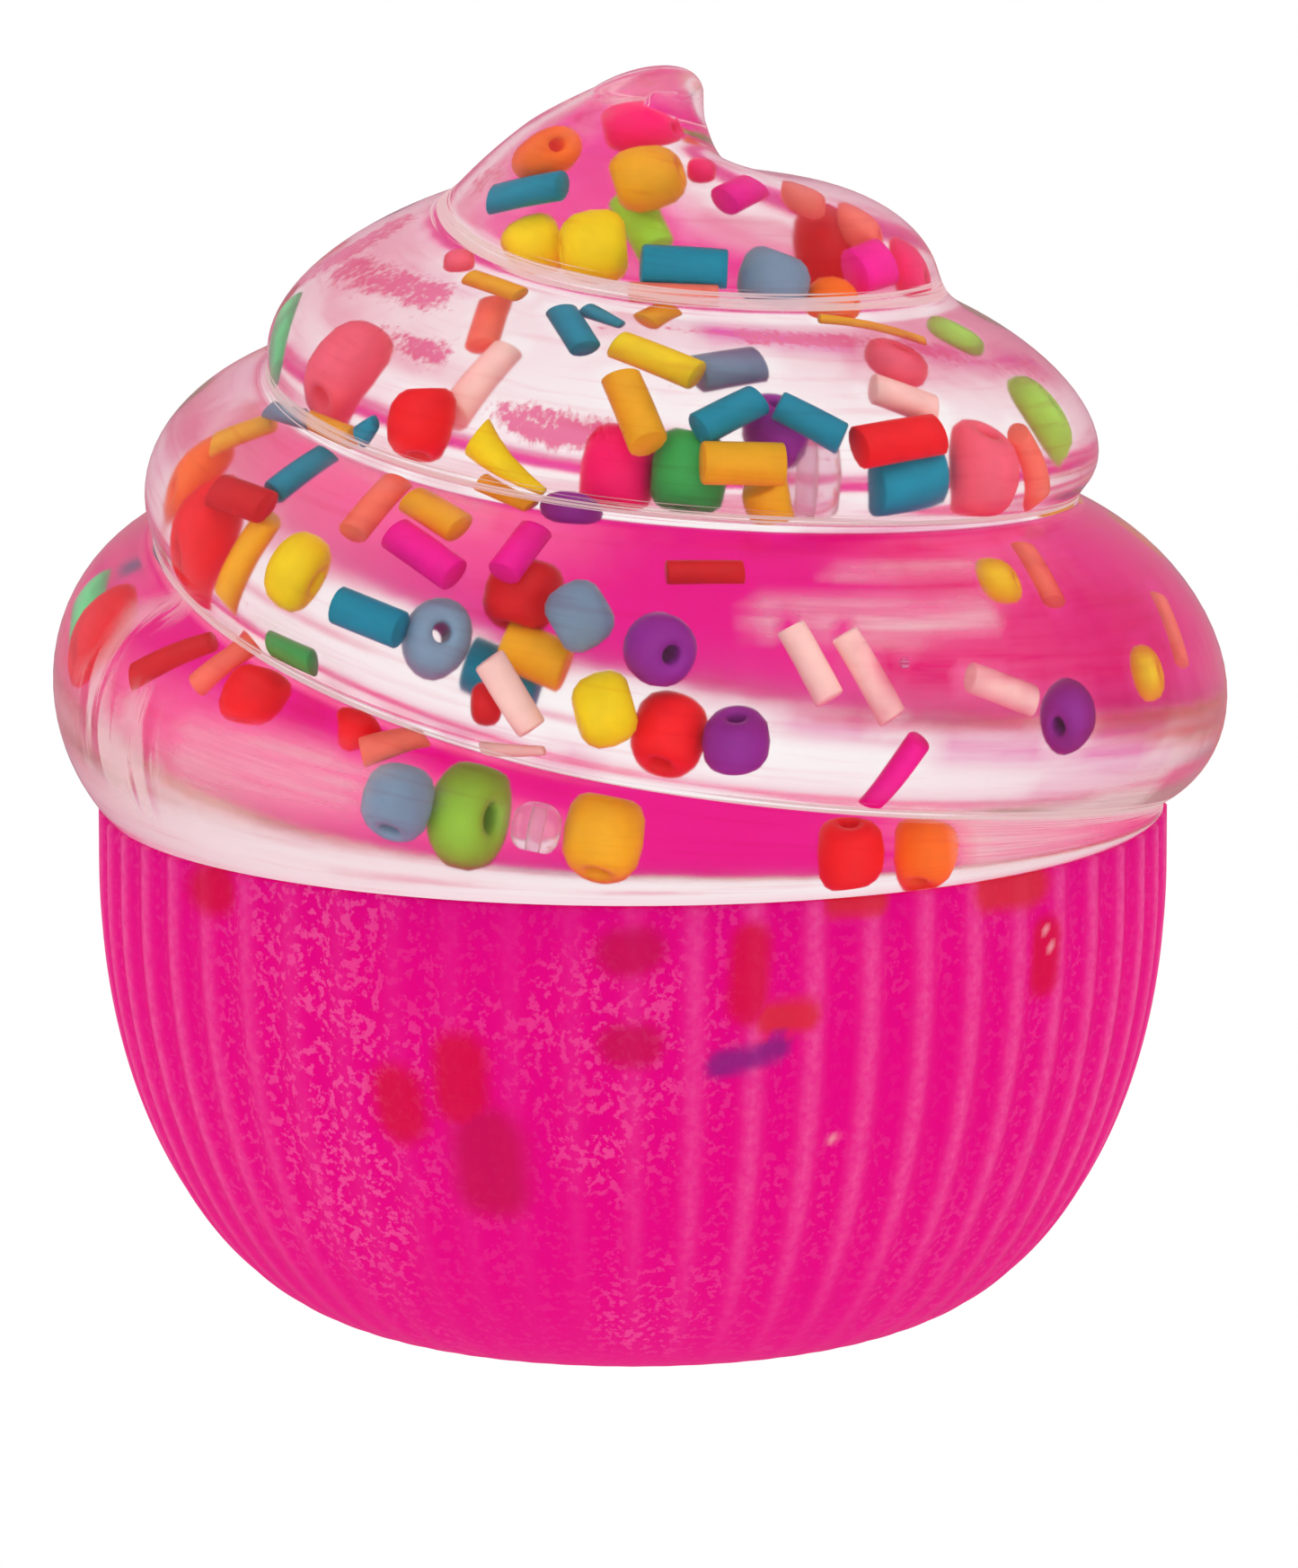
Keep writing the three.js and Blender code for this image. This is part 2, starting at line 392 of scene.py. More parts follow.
def clear_tpr():
    """Clear TPR rubber over gel, moulded: what lies just under it is crisp and what is far inside is soft.
    Its skin has slow waves from the mould. Where it is cloudy it is frosted and hides what is behind it. The
    same frosted white is painted along its grooves and in some strokes as a highlight."""
    material, tree = new_material("clear_tpr_over_gel")
    place = add(tree, "ShaderNodeTexCoord")
    lay = add(tree, "ShaderNodeAttribute", attribute_name="lay")
    folds = add(tree, "ShaderNodeAttribute", attribute_name="folds")
    drawn_marks = add(tree, "ShaderNodeAttribute", attribute_name="marks")
    marks = add(tree, "ShaderNodeSeparateXYZ", {"Vector": (drawn_marks, "Vector")})

    # Strands run along the coil, and pleats run across it
    combed = add(
        tree, "ShaderNodeMapping", {"Vector": (lay, "Vector"), "Scale": along_coil(11.25, 1.0)}
    )
    strands = add(tree, "ShaderNodeTexNoise", {"Vector": (combed, 0), "Scale": 1.0, "Detail": 5.0})
    pleated = add(
        tree, "ShaderNodeMapping", {"Vector": (lay, "Vector"), "Scale": along_coil(1.25, 13.75)}
    )
    pleats = add(tree, "ShaderNodeTexNoise", {"Vector": (pleated, 0), "Scale": 1.0, "Detail": 3.0})
    folded = []
    for start, end in ((0.42, 0.52), (0.46, 0.38)):
        picked = add(
            tree,
            "ShaderNodeMapRange",
            {"Value": (pleats, 0), "From Min": start, "From Max": end},
            interpolation_type="SMOOTHSTEP",
        )
        folded.append(
            add(tree, "ShaderNodeMath", {0: (folds, "Fac"), 1: (picked, 0)}, operation="MULTIPLY")
        )
    ridges, creases = folded

    waves = add(
        tree,
        "ShaderNodeTexNoise",
        {"Vector": (place, "Object"), "Scale": per_metre(5.56), "Detail": 2.0},
    )
    bump = add(tree, "ShaderNodeBump", {"Height": (waves, 0), "Strength": 0.2, "Distance": 0.3 * MM})
    clear = add(
        tree,
        "ShaderNodeBsdfPrincipled",
        {
            "Base Color": (skin_colour(tree, place, strands, creases, marks), 2),
            "Transmission Weight": 1.0,
            "Roughness": 0.16,
            "IOR": GEL_IOR,
            "Normal": (bump, 0),
        },
    )
    # Frosted white, used both for cloudiness and for painted highlights
    frost_and_painted_highlight = add(
        tree,
        "ShaderNodeMixShader",
        {
            0: 0.5,
            1: (add(tree, "ShaderNodeBsdfDiffuse", {"Color": linear("fdf3f0")}), 0),
            2: (add(tree, "ShaderNodeBsdfTranslucent", {"Color": linear("fdf3f0")}), 0),
        },
    )
    # Cloudiness and painted highlights, as one mask
    haze_and_highlight_mask = skin_haze_and_painted_highlights(tree, lay, strands, ridges, marks)
    clouded_and_highlit = add(tree, "ShaderNodeMixShader", {0: (haze_and_highlight_mask, 0), 1: (clear, 0), 2: (frost_and_painted_highlight, 0)})
    add(tree, "ShaderNodeOutputMaterial", {"Surface": (clouded_and_highlit, 0)})
    return material


def gel_behind_the_wall():
    """Where the gel lies against the cup's wall no surface shows: the two are wet together."""
    material, tree = new_material("gel_wet_on_the_wall")
    shader = add(tree, "ShaderNodeBsdfTransparent")
    add(tree, "ShaderNodeOutputMaterial", {"Surface": (shader, 0)})
    return material


def pink_tpr_inside():
    """The smooth inside of the same pink rubber, wet with gel. It is lighter, because light comes through
    the wall, and nearly white where most light falls in."""
    material, tree = new_material("pink_tpr_inside")
    place = add(tree, "ShaderNodeTexCoord")
    cloud = add(
        tree,
        "ShaderNodeTexNoise",
        {"Vector": (place, "Object"), "Scale": per_metre(11.1), "Detail": 4.0},
    )
    pink = add(
        tree,
        "ShaderNodeMix",
        {0: (cloud, 0), 6: linear("ee20d4"), 7: linear("f040dc")},
        data_type="RGBA",
    )
    pale = add(tree, "ShaderNodeAttribute", attribute_name="pale")
    wall = add(
        tree,
        "ShaderNodeMix",
        {0: (pale, "Fac"), 6: (pink, 2), 7: linear("fff0f8")},
        data_type="RGBA",
    )
    surface = add(
        tree,
        "ShaderNodeBsdfPrincipled",
        {"Base Color": (wall, 2), "Roughness": 0.6, "Specular IOR Level": 0.1},
    )
    glow = add(tree, "ShaderNodeBsdfTranslucent", {"Color": (wall, 2)})
    shader = add(tree, "ShaderNodeMixShader", {0: 0.5, 1: (surface, 0), 2: (glow, 0)})
    add(tree, "ShaderNodeOutputMaterial", {"Surface": (shader, 0)})
    return material


def pink_tpr():
    """Hot pink TPR rubber, moulded and lightly frosted: it lets light through. The crests of its flutes carry
    a painted highlight, fine pale veins show where they are plain, and colour shows where beads lie behind
    it."""
    material, tree = new_material("pink_tpr_moulded")
    place = add(tree, "ShaderNodeTexCoord")
    mottle = add(
        tree,
        "ShaderNodeTexNoise",
        {"Vector": (place, "Object"), "Scale": per_metre(0.526), "Detail": 3.0, "Roughness": 0.6},
    )
    patches = add(
        tree,
        "ShaderNodeTexNoise",
        {"Vector": (place, "Object"), "Scale": per_metre(14.3), "Detail": 2.0},
    )
    crest = add(tree, "ShaderNodeAttribute", attribute_name="crest")
    marked = add(
        tree,
        "ShaderNodeMapRange",
        {"Value": (patches, 0), "From Min": 0.42, "From Max": 0.62, "To Min": 0.15, "To Max": 1.0},
    )
    veined = add(
        tree,
        "ShaderNodeMapRange",
        {"Value": (mottle, 0), "From Min": 0.5, "From Max": 0.6},
        interpolation_type="SMOOTHSTEP",
    )
    plain = add(tree, "ShaderNodeAttribute", attribute_name="veined")
    thinned = add(tree, "ShaderNodeMath", {0: (marked, 0), 1: (plain, "Fac")}, operation="MULTIPLY")
    veins = add(tree, "ShaderNodeMath", {0: (thinned, 0), 1: (veined, 0)}, operation="MULTIPLY")
    # Painted highlight on the flutes' crests, uneven with the grain
    crest_highlight_grain = add(
        tree,
        "ShaderNodeMapRange",
        {"Value": (mottle, 0), "From Min": 0.35, "From Max": 0.65, "To Min": 0.55, "To Max": 1.2},
    )
    crests = add(tree, "ShaderNodeMath", {0: (crest, "Fac"), 1: (crest_highlight_grain, 0)}, operation="MULTIPLY")
    veins_and_crest_highlights = add(tree, "ShaderNodeMath", {0: (crests, 0), 1: (veins, 0)}, operation="MAXIMUM")
    # Paler pink for the veins and for the crests' painted highlight
    pink = add(
        tree,
        "ShaderNodeMix",
        {0: (veins_and_crest_highlights, 0), 6: linear("f0009a"), 7: linear("fa60b4")},
        data_type="RGBA",
    )
    stain = add(tree, "ShaderNodeAttribute", attribute_name="stain")
    stained = add(
        tree,
        "ShaderNodeMix",
        {0: (stain, "Alpha"), 6: (pink, 2), 7: (stain, "Color")},
        data_type="RGBA",
    )
    grain = add(tree, "ShaderNodeBump", {"Height": (mottle, 0), "Strength": 0.1, "Distance": 0.1 * MM})
    surface = add(
        tree,
        "ShaderNodeBsdfPrincipled",
        {
            "Base Color": (stained, 2),
            "Roughness": 0.35,
            "Specular IOR Level": 0.06,
            "Normal": (grain, 0),
        },
    )
    glow = add(tree, "ShaderNodeBsdfTranslucent", {"Color": (stained, 2), "Normal": (grain, 0)})
    shader = add(tree, "ShaderNodeMixShader", {0: 0.4, 1: (surface, 0), 2: (glow, 0)})
    add(tree, "ShaderNodeOutputMaterial", {"Surface": (shader, 0)})
    return material


def bead_plastic(name, hex_colour):
    """Moulded or extruded opaque plastic, dyed right through: an even colour with a faint cloudiness."""
    material, tree = new_material(name)
    place = add(tree, "ShaderNodeTexCoord")
    cloud = add(
        tree,
        "ShaderNodeTexNoise",
        {"Vector": (place, "Object"), "Scale": per_metre(1.43), "Detail": 3.0},
    )
    lightness = add(tree, "ShaderNodeMapRange", {"Value": (cloud, 0), "To Min": 0.88, "To Max": 1.12})
    tint = add(
        tree,
        "ShaderNodeHueSaturation",
        {"Value": (lightness, 0), "Color": linear(hex_colour)},
    )
    bump = add(tree, "ShaderNodeBump", {"Height": (cloud, 0), "Strength": 0.15, "Distance": 0.05 * MM})
    shader = add(
        tree,
        "ShaderNodeBsdfPrincipled",
        {"Base Color": (tint, 0), "Roughness": 0.4, "Specular IOR Level": 0.15, "Normal": (bump, 0)},
    )
    add(tree, "ShaderNodeOutputMaterial", {"Surface": (shader, 0)})
    return material


def clear_bead_plastic(name, hex_colour):
    """Clear moulded polystyrene, a little cloudy: it bends light more than the gel, so its rim shows."""
    material, tree = new_material(name)
    place = add(tree, "ShaderNodeTexCoord")
    cloud = add(
        tree,
        "ShaderNodeTexNoise",
        {"Vector": (place, "Object"), "Scale": per_metre(2.0), "Detail": 2.0},
    )
    bump = add(tree, "ShaderNodeBump", {"Height": (cloud, 0), "Strength": 0.2, "Distance": 0.05 * MM})
    shader = add(
        tree,
        "ShaderNodeBsdfPrincipled",
        {
            "Base Color": linear(hex_colour),
            "Transmission Weight": 1.0,
            "Roughness": 0.25,
            "IOR": 1.12,
            "Normal": (bump, 0),
        },
    )
    mist = add(tree, "ShaderNodeBsdfDiffuse", {"Color": linear("f2dcec"), "Normal": (bump, 0)})
    misty = add(tree, "ShaderNodeMixShader", {0: 0.2, 1: (shader, 0), 2: (mist, 0)})
    add(tree, "ShaderNodeOutputMaterial", {"Surface": (misty, 0)})
    return material


def tent_light(tree, kind):
    """White light from all round. Reflections of it are held back and pinkish, and what lies inside the toy
    gets more of it, as from lamps that the picture doesn't show."""
    path = add(tree, "ShaderNodeLightPath")
    gloss = add(
        tree,
        "ShaderNodeMath",
        {0: (path, "Is Glossy Ray"), 1: (path, "Is Reflection Ray")},
        operation="MULTIPLY",
    )
    colour = add(
        tree,
        "ShaderNodeMix",
        {0: (gloss, 0), 6: (1.0, 1.0, 1.0, 1.0), 7: linear(MIRRORED_LIGHT)},
        data_type="RGBA",
    )
    spread = add(
        tree,
        "ShaderNodeMath",
        {0: (path, "Diffuse Depth"), 1: (path, "Is Diffuse Ray")},
        operation="MAXIMUM",
    )
    inside = add(
        tree,
        "ShaderNodeMath",
        {0: (spread, 0), 1: (path, "Transmission Depth")},
        operation="MINIMUM",
    )
    lit = add(tree, "ShaderNodeMath", {0: (inside, 0), 1: 0.5}, operation="GREATER_THAN")
    strength = add(tree, "ShaderNodeMapRange", {"Value": (lit, 0), "To Min": 1.0, "To Max": LAMP_LIGHT})
    return add(tree, kind, {"Color": (colour, 2), "Strength": (strength, 0)})


def floor_white():
    """A white table in a light tent: it glows, so that no shadow falls on it."""
    material, tree = new_material("white_table")
    add(tree, "ShaderNodeOutputMaterial", {"Surface": (tent_light(tree, "ShaderNodeEmission"), 0)})
    material.cycles.emission_sampling = "NONE"
    return material


def wall_point(share, inset):
    """Radius and height on the cup's wall, from 0 at the foot to 1 at the top of the belly. The inset is
    how far in from the outside it is."""
    angle = (1 - share) * math.pi / 2
    radius = FOOT_RADIUS + (BELLY_RADIUS - inset - FOOT_RADIUS) * math.cos(angle)
    return radius, BELLY_HEIGHT - (BELLY_HEIGHT - inset) * math.sin(angle)


def gel_body():
    """The clear swirl and the gel in one closed skin: the coils, the dome of the tip, and down inside the
    cup."""
    skin = Skin()
    per_turn = QUARTERS_PER_TURN * COLUMNS_PER_QUARTER
    count = (LAST_GROOVE + QUARTERS_PER_TURN) * COLUMNS_PER_QUARTER
    columns = []
    grooves = [rounding(column / COLUMNS_PER_QUARTER) for column in range(count + 1)]
    for column in range(count + 1):
        quarter = column / COLUMNS_PER_QUARTER
        below = columns[column - per_turn][-1] if column >= per_turn else skin.point(coil_point(quarter, 0))
        points = [below]
        for row in range(1, ROWS_PER_COIL + 1):
            share = (1 - math.cos(math.pi * row / ROWS_PER_COIL)) / 2
            place = rounded(coil_point(quarter, share), grooves[column])
            pale = groove_highlight_depth(place, grooves[column], GROOVE_HIGHLIGHT_BELOW)
            if column >= per_turn:
                place = rounded(place, grooves[column - per_turn])
                pale = max(pale, groove_highlight_depth(place, grooves[column - per_turn], GROOVE_HIGHLIGHT_ABOVE))
            points.append(below if column in (0, count) else skin.point(place, (quarter, share, pale)))
        columns.append(points)
    for right, left in zip(columns, columns[1:]):
        skin.strip(right, left)

    # The dome of the tip
    first = LAST_GROOVE * COLUMNS_PER_QUARTER
    ring = [column[-1] for column in columns[first:count]]
    for row in range(1, DOME_ROWS):
        angle = DOME_START + (math.pi / 2 - DOME_START) * row / DOME_ROWS
        climb = (math.sin(angle) - math.sin(DOME_START)) / (1 - math.sin(DOME_START))
        height = GROOVE_HEIGHT[-1] + (TIP_HEIGHT - GROOVE_HEIGHT[-1]) * climb
        radius = GROOVE_RADIUS[-1] * math.cos(angle) / math.cos(DOME_START)
        following = [
            skin.point(turned((first + i) / COLUMNS_PER_QUARTER, radius, height)) for i in range(len(ring))
        ]
        skin.ring_to_ring(list(reversed(ring)), list(reversed(following)))
        ring = following
    skin.fan(list(reversed(ring)), skin.point(turned(0, 0, TIP_HEIGHT)))

    # Down inside the cup's wall to its floor
    skin.finish = 1
    ring = [column[0] for column in columns[:per_turn]]
    for row in range(GEL_CUP_ROWS + 1):
        radius, height = wall_point(1 - row / GEL_CUP_ROWS, GEL_IN_WALL)
        following = [skin.point(turned(i / COLUMNS_PER_QUARTER, radius, height)) for i in range(per_turn)]
        skin.ring_to_ring(list(reversed(following)), list(reversed(ring)))
        ring = following
    skin.fan(ring, skin.point((0, 0, GEL_IN_WALL)))
    return skin


def cup_body():
    """The fluted cup: a wall of even thickness, fluted outside and smooth inside."""
    skin = Skin()
    count = FLUTES * POINTS_PER_FLUTE
    outer = [wall_point(row / CUP_ROWS, 0) for row in range(CUP_ROWS + 1)]
    climb = (RIM_HEIGHT - RIM_ROUNDING - BELLY_HEIGHT) / RIM_ROWS
    outer += [(BELLY_RADIUS, BELLY_HEIGHT + climb * row) for row in range(1, RIM_ROWS + 1)]
    rim = [(BELLY_RADIUS - RIM_ROUNDING, RIM_HEIGHT), (BELLY_RADIUS - WALL_THICKNESS, RIM_HEIGHT)]
    inner = [wall_point(1 - row / CUP_ROWS_INSIDE, WALL_THICKNESS) for row in range(CUP_ROWS_INSIDE + 1)]
    rings = []
    for place, (radius, height) in enumerate(outer + rim + inner):
        growth = (radius - FOOT_RADIUS) / (BELLY_RADIUS - FOOT_RADIUS) if place < len(outer) + 1 else 0
        ring = []
        for i in range(count):
            inset = FLUTE_DEPTH / 2 * (1 - math.cos(2 * math.pi * i / POINTS_PER_FLUTE))
            angle = 2 * math.pi * i / count
            r = radius - growth * inset
            ring.append(skin.point((r * math.cos(angle), r * math.sin(angle), height)))
        rings.append(ring)
    skin.fan(list(reversed(rings[0])), skin.point((0, 0, 0)))
    for place, (low, high) in enumerate(zip(rings, rings[1:])):
        skin.finish = 0 if place < len(outer) else 1
        skin.ring_to_ring(low, high)
    skin.fan(rings[-1], skin.point((0, 0, WALL_THICKNESS)))
    return skin


# The camera, in millimetres until it is made
FORWARD = Vector((0, math.cos(CAMERA_ELEVATION), -math.sin(CAMERA_ELEVATION)))
RIGHT = Vector((1, 0, 0))
UP = RIGHT.cross(FORWARD)
EYE = LOOKED_AT - FORWARD * CAMERA_DISTANCE
AIM = (
    LOOKED_AT
    + RIGHT * (PHOTO_WIDTH / 2 - LOOKED_AT_PIXEL[0]) / PIXELS_PER_MM
    + UP * (LOOKED_AT_PIXEL[1] - PHOTO_HEIGHT / 2) / PIXELS_PER_MM
)
LENS = PIXELS_PER_MM * CAMERA_DISTANCE * SENSOR / PHOTO_HEIGHT
CAMERA_TRACK = (AIM - EYE).to_track_quat("-Z", "Y")
CAMERA_TURN = CAMERA_TRACK.to_matrix()


def make_camera():
    data = bpy.data.cameras.new("camera")
    data.sensor_fit = "VERTICAL"
    data.sensor_height = SENSOR
    data.lens = LENS
    made = bpy.data.objects.new("camera", data)
    bpy.context.scene.collection.objects.link(made)
    made.location = EYE * MM
    made.rotation_euler = CAMERA_TRACK.to_euler()
    bpy.context.scene.camera = made


make_camera()


def sight(pixel):
    """The direction in which the camera sees a pixel of the photograph."""
    x = (pixel[0] - PHOTO_WIDTH / 2) / PHOTO_HEIGHT * SENSOR
    y = (PHOTO_HEIGHT / 2 - pixel[1]) / PHOTO_HEIGHT * SENSOR
    return (CAMERA_TURN @ Vector((x, y, -LENS))).normalized()


def bent(direction, normal):
    """The direction of a ray after it enters the gel."""
    cosine = -direction.dot(normal)
    bend = 1 / GEL_IOR
    inner = 1 - bend**2 * (1 - cosine**2)
    return (direction * bend + normal * (bend * cosine - math.sqrt(inner))).normalized()


gel_skin = gel_body()
gel_tree = BVHTree.FromPolygons(gel_skin.points, gel_skin.faces)
cup_skin = cup_body()
cup_tree = BVHTree.FromPolygons(cup_skin.points, cup_skin.faces)


def entering(pixel):
    """Where the sight line through a pixel meets the swirl, if it does."""
    return gel_tree.ray_cast(EYE, sight(pixel))[0]


def in_gel(pixel, depth):
    """The point that is seen at a pixel, this far into the gel along the bent ray."""
    hit, normal, _, _ = gel_tree.ray_cast(EYE, sight(pixel))
    return hit + bent(sight(pixel), normal) * depth


def followed(pixel, runs):
    """The straight runs of a sight line inside the gel, which goes on where the skin mirrors it: the start,
    direction, length and end of each."""
    direction = sight(pixel)
    hit, normal, _, _ = gel_tree.ray_cast(EYE, direction)
    if hit is None:
        return
    direction = bent(direction, normal)
    for _ in range(runs):
        start = hit + direction * STEP_OFF
        hit, normal, _, distance = gel_tree.ray_cast(start, direction)
        if hit is None:
            return
        yield start, direction, distance, hit
        cosine = direction.dot(normal)
        if GEL_IOR**2 * (1 - cosine**2) < 1:
            return
        direction = direction - normal * (2 * cosine)


def clearance(place):
    """How far inside the gel a point is. Negative outside."""
    nearest, normal, _, distance = gel_tree.find_nearest(place)
    return distance if (place - nearest).dot(normal) < 0 else -distance


# A bead is a short barrel with a hole. Its section is an ellipse that is made squarer by a power below 1,
# and its ends are drawn in
BEAD_RADIUS = 1.9
BEAD_HALF_HEIGHT = 1.55
BEAD_HOLE = 0.55
BEAD_SQUARENESS = 0.75
BEAD_END_PULL = 0.4
BEAD_END_POWER = 3
BEAD_SIDES = 20
BEAD_SECTION_POINTS = 14

# A rod is a length of cut string, with narrow bevels at its ends. It bends at these shares of its length up
# to its middle. The others are where it is kept clear of its neighbours and where the skin over it is wiped
# clean
ROD_RADIUS = 1.05
ROD_LENGTH = 4.5
ROD_BEVEL = 0.1
ROD_SIDES = 14
ROD_BENDS = (0.25, 0.5)
ROD_KEPT_CLEAR = (0.15, 0.5, 0.85)
ROD_WIPED = (0.0, 0.35, 0.65, 1.0)

# One that the photograph shows is moved deeper by steps until it is free, with this much gel over it
DEPTH_STEPS = 12
DEPTH_STEP = 0.4
GEL_OVER_BEAD = 0.15
GEL_OVER_ROD = 0.1

# The hidden ones: how many, how many places are tried for each, how deep they lie, how near the grooves,
# how far from the skin and from each other, how many of them are beads, how much a rod bends, and which
# colours are left out
HIDDEN_COUNT = 90
HIDDEN_TRIES = 100
HIDDEN_DEPTHS = (2.2, 5.0)
HIDDEN_SHARES = (0.05, 0.95)
GEL_OVER_HIDDEN_BEAD = 0.3
GEL_OVER_HIDDEN_ROD = 0.2
HIDDEN_BEAD_GAP = 0.4
HIDDEN_ROD_GAP = 0.2
HIDDEN_BEADS = 0.45
HIDDEN_BOW = 0.4
NEVER_HIDDEN = ("clear", "bright_lit_lime", "bright_lit_green")

# The colours of the plastics. The two bright lit greens are lighter copies of lime and green, painted light
# for those that the gel shows bright
COLOURS = {
    "red": "f4141c",
    "dark_red": "d41418",
    "orange": "fc7410",
    "amber": "f0b014",
    "yellow": "f8dc08",
    "lime": "8cc038",
    # Painted light: a lighter copy of lime
    "bright_lit_lime": "a8f044",
    "green": "34a850",
    # Painted light: a lighter copy of green
    "bright_lit_green": "58f098",
    "teal": "0090ac",
    "slate": "7a9ab2",
    "purple": "94289c",
    "magenta": "f6009c",
    "hot_pink": "fa0470",
    "salmon": "fc7c64",
    "coral": "fa6880",
    "pale_pink": "ffd6cc",
    "clear": "fbe4ee",
}
batches = {colour: Skin() for colour in COLOURS}
taken = []

# Where the photograph shows beads and rods through the skin, and the radius of each
windows = []


def free(places, reach):
    """True where none of these round places runs into one that is taken already."""
    return all((a - b).length > reach + other for a in places for b, other in taken)


def lathe(skin, turn, at, profile):
    """Turns a closed profile of (radius, height) points about an axis."""
    rings = []
    for radius, height in profile:
        ring = []
        for i in range(BEAD_SIDES):
            angle = 2 * math.pi * i / BEAD_SIDES
            local = Vector((radius * math.cos(angle), radius * math.sin(angle), height))
            ring.append(skin.point(at + turn @ local))
        rings.append(ring)
    for i, ring in enumerate(rings):
        skin.ring_to_ring(ring, rings[(i + 1) % len(rings)])


def bead(colour, at, hole, size=1.0):
    """A bead whose hole points along a direction."""
    middle = size * (BEAD_RADIUS + BEAD_HOLE) / 2
    thick = size * (BEAD_RADIUS - BEAD_HOLE) / 2
    profile = []
    for i in range(BEAD_SECTION_POINTS):
        angle = 2 * math.pi * i / BEAD_SECTION_POINTS
        c, s = math.cos(angle), math.sin(angle)
        x = math.copysign(abs(c) ** BEAD_SQUARENESS, c)
        z = math.copysign(abs(s) ** BEAD_SQUARENESS, s)
        radius = middle + thick * x - size * BEAD_END_PULL * abs(z) ** BEAD_END_POWER
        profile.append((radius, size * BEAD_HALF_HEIGHT * z))
    lathe(batches[colour], hole.to_track_quat("Z", "Y").to_matrix(), at, profile)
    taken.append((at, size * BEAD_RADIUS))


def rod(colour, start, end, bow=0.0, thick=1.0, taper=0.0):
    """A rod between two points, bent a little, with crisp cut ends. It can be thinner towards its end."""
    skin = batches[colour]
    axis = end - start
    turn = axis.to_track_quat("Z", "Y").to_matrix()
    length = axis.length
    stations = [(0, ROD_RADIUS - ROD_BEVEL), (ROD_BEVEL / length, ROD_RADIUS)]
    stations += [(share, ROD_RADIUS) for share in ROD_BENDS]
    stations += [(1 - share, radius) for share, radius in reversed(stations[:-1])]
    rings = []
    for share, radius in stations:
        side = bow * math.sin(math.pi * share)
        ring = []
        for i in range(ROD_SIDES):
            angle = 2 * math.pi * i / ROD_SIDES
            r = radius * thick * (1 - taper * share)
            local = Vector((r * math.cos(angle) + side, r * math.sin(angle), length * share))
            ring.append(skin.point(start + turn @ local))
        rings.append(ring)
    for low, high in zip(rings, rings[1:]):
        skin.ring_to_ring(low, high)
    skin.fan(list(reversed(rings[0])), skin.point(start))
    skin.fan(rings[-1], skin.point(end))
    for share in ROD_KEPT_CLEAR:
        taken.append((start.lerp(end, share), ROD_RADIUS * thick))


def seen_bead(colour, pixel, depth=3.0, hole=(0.2, 1.0, 0.3), size=1.0):
    """A bead that is seen at a pixel. Its hole points so far right, up and towards the viewer."""
    towards = RIGHT * hole[0] + UP * hole[1] - FORWARD * hole[2]
    for step in range(DEPTH_STEPS):
        at = in_gel(pixel, depth + DEPTH_STEP * step)
        if clearance(at) > size * BEAD_RADIUS + GEL_OVER_BEAD and free([at], size * BEAD_RADIUS):
            break
    bead(colour, at, towards.normalized(), size)
    windows.append((entering(pixel), size * BEAD_RADIUS))


def seen_rod(colour, start, end, depth=2.5, bow=0.0, thick=1.0, taper=0.0):
    """A rod that is seen between two pixels."""
    reach = ROD_RADIUS * thick
    for step in range(DEPTH_STEPS):
        a = in_gel(start, depth + DEPTH_STEP * step)
        b = in_gel(end, depth + DEPTH_STEP * step)
        inside = min(clearance(a), clearance(b), clearance(a.lerp(b, 0.5))) > reach + GEL_OVER_ROD
        if inside and free([a.lerp(b, share) for share in ROD_KEPT_CLEAR], reach):
            break
    rod(colour, a, b, bow, thick, taper)
    for share in ROD_WIPED:
        windows.append((entering([u + (v - u) * share for u, v in zip(start, end)]), reach))


# What the photograph shows through the skin, from the tip down and in the order in which room is found for
# it. A bead is given by its pixel, how deep it lies, which way its hole points and its size. A rod is given
# by the pixels of its ends, how deep it lies, how far it bows, how thick it is and how much thinner it gets
AT_THE_TIP = [
    (seen_bead, "orange", (607, 170), 3.0, (0.3, 0.6, 0.8), 1.05),
    (seen_rod, "teal", (546, 222), (626, 206), 2.0),
    (seen_bead, "hot_pink", (705, 138), 4.4, (1.0, 0.2, 0.0)),
    (seen_bead, "amber", (722, 196), 3.5, (1.0, 0.3, 0.0), 1.15),
    (seen_rod, "bright_lit_lime", (696, 218), (730, 278), 2.4, 0.0, 0.95),
    (seen_bead, "yellow", (660, 276), 2.6, (1.0, 0.1, 0.0), 1.2),
    (seen_bead, "yellow", (592, 278), 2.8, (1.0, 0.3, 0.0), 1.05),
    (seen_rod, "teal", (714, 294), (810, 300), 1.6, 0.0, 1.1),
    (seen_rod, "salmon", (700, 326), (800, 330), 1.2, 0.0, 0.7),
    (seen_bead, "slate", (862, 314), 2.8, (0.3, 1.0, -0.2), 1.1),
    (seen_bead, "orange", (928, 340), 2.2, (1.0, 0.0, 0.0)),
    (seen_rod, "magenta", (952, 304), (988, 290), 1.6, 0.0, 1.2),
    (seen_bead, "salmon", (958, 252), 2.4, (1.0, -0.3, 0.0), 0.8),
    (seen_bead, "dark_red", (926, 284), 4.4, (1.0, 0.3, 0.0), 1.1),
    (seen_bead, "salmon", (894, 218), 2.6, (1.0, -0.3, 0.0), 0.85),
    (seen_rod, "magenta", (806, 224), (842, 206), 2.0, 0.0, 1.0),
    (seen_bead, "hot_pink", (782, 188), 1.4, (1.0, 0.0, 0.0), 0.5),
    (seen_bead, "hot_pink", (1018, 308), 2.2, (1.0, 0.0, 0.0), 0.95),
]
